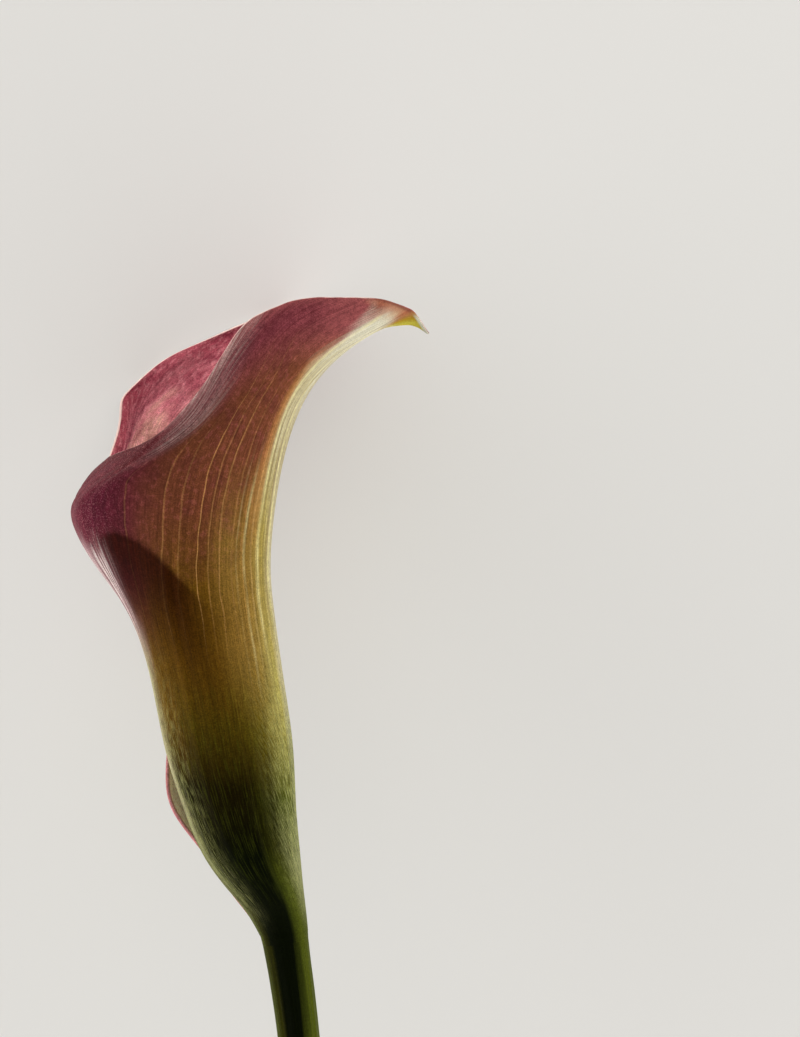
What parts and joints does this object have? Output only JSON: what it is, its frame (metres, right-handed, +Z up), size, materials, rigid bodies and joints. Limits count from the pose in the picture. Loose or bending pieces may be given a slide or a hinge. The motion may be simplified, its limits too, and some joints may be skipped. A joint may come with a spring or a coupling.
{
  "type": "calla lily flower",
  "caption": "Funnel-shaped calla lily flower: one wrapped bract with a hooked tip round a finger-like spike, on a cut stem, lying down.",
  "frame": {"origin": "middle of the flower's box on the surface that it lies on", "axes": "+Y along the flower from the cut stem to the rim, +Z up from the surface to the side seen in the picture, +X to the side of the pointed tip"},
  "size_m": [0.0624, 0.2616, 0.0491],
  "materials": {
    "spathe": "waxy petal: maroon and brown above, golden veins, green at the foot, cream along the back rib, pink inside",
    "spadix": "grainy yellow spike of tiny florets",
    "stem": "smooth dark green, softly glossy, pale cut face"
  },
  "bodies": {
    "root": {"spathe": "spathe", "spadix": "spadix", "stem": "stem"}
  },
  "joints": []
}
